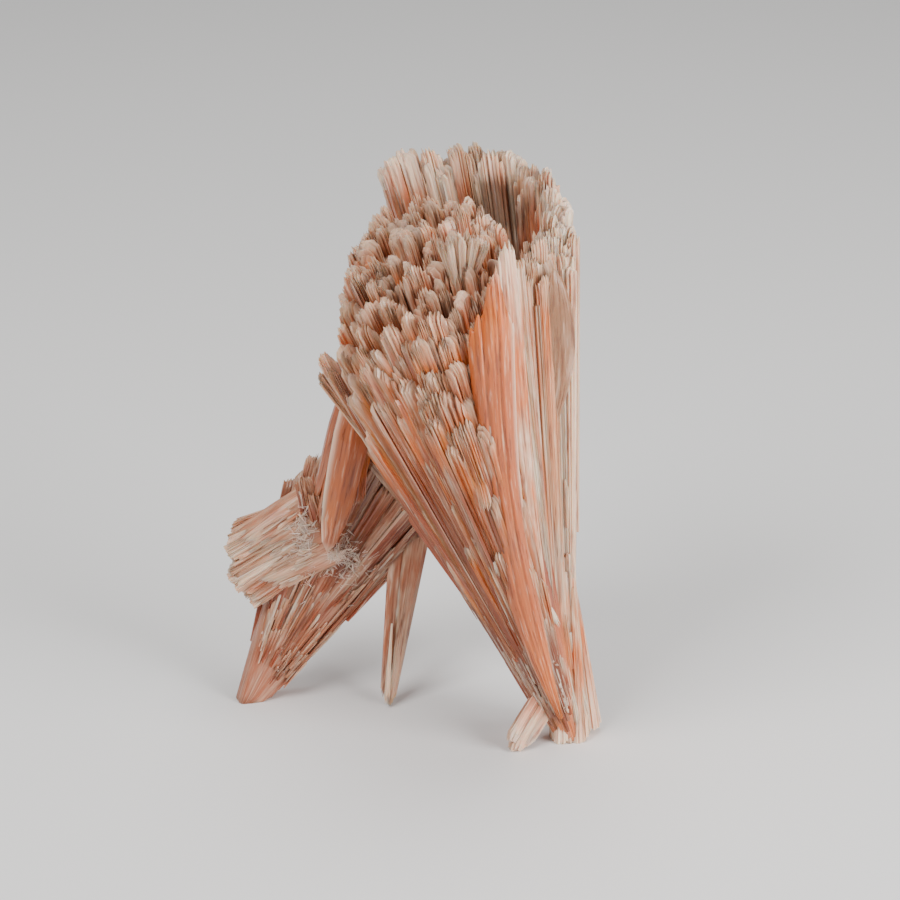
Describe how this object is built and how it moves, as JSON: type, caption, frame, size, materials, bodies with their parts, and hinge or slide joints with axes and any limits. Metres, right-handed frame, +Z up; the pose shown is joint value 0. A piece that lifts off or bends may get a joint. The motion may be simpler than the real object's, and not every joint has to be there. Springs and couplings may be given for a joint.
{
  "type": "inesite crystal specimen",
  "caption": "Miniature cluster of bladed, spreading crystal sprays grown together, standing upright on its broken ends.",
  "frame": {"origin": "bottom centre of the object's box, on the surface that it stands on", "axes": "+Z up through the crown, +X to the right as the picture sees it, +Y away from the viewer"},
  "size_m": [0.033, 0.0244, 0.0507],
  "materials": {
    "inesite": "silky, slightly see-through pinkish orange crystal with pale grey-tan tips"
  },
  "bodies": {
    "root": {"crystal_cluster": "inesite"}
  },
  "joints": []
}
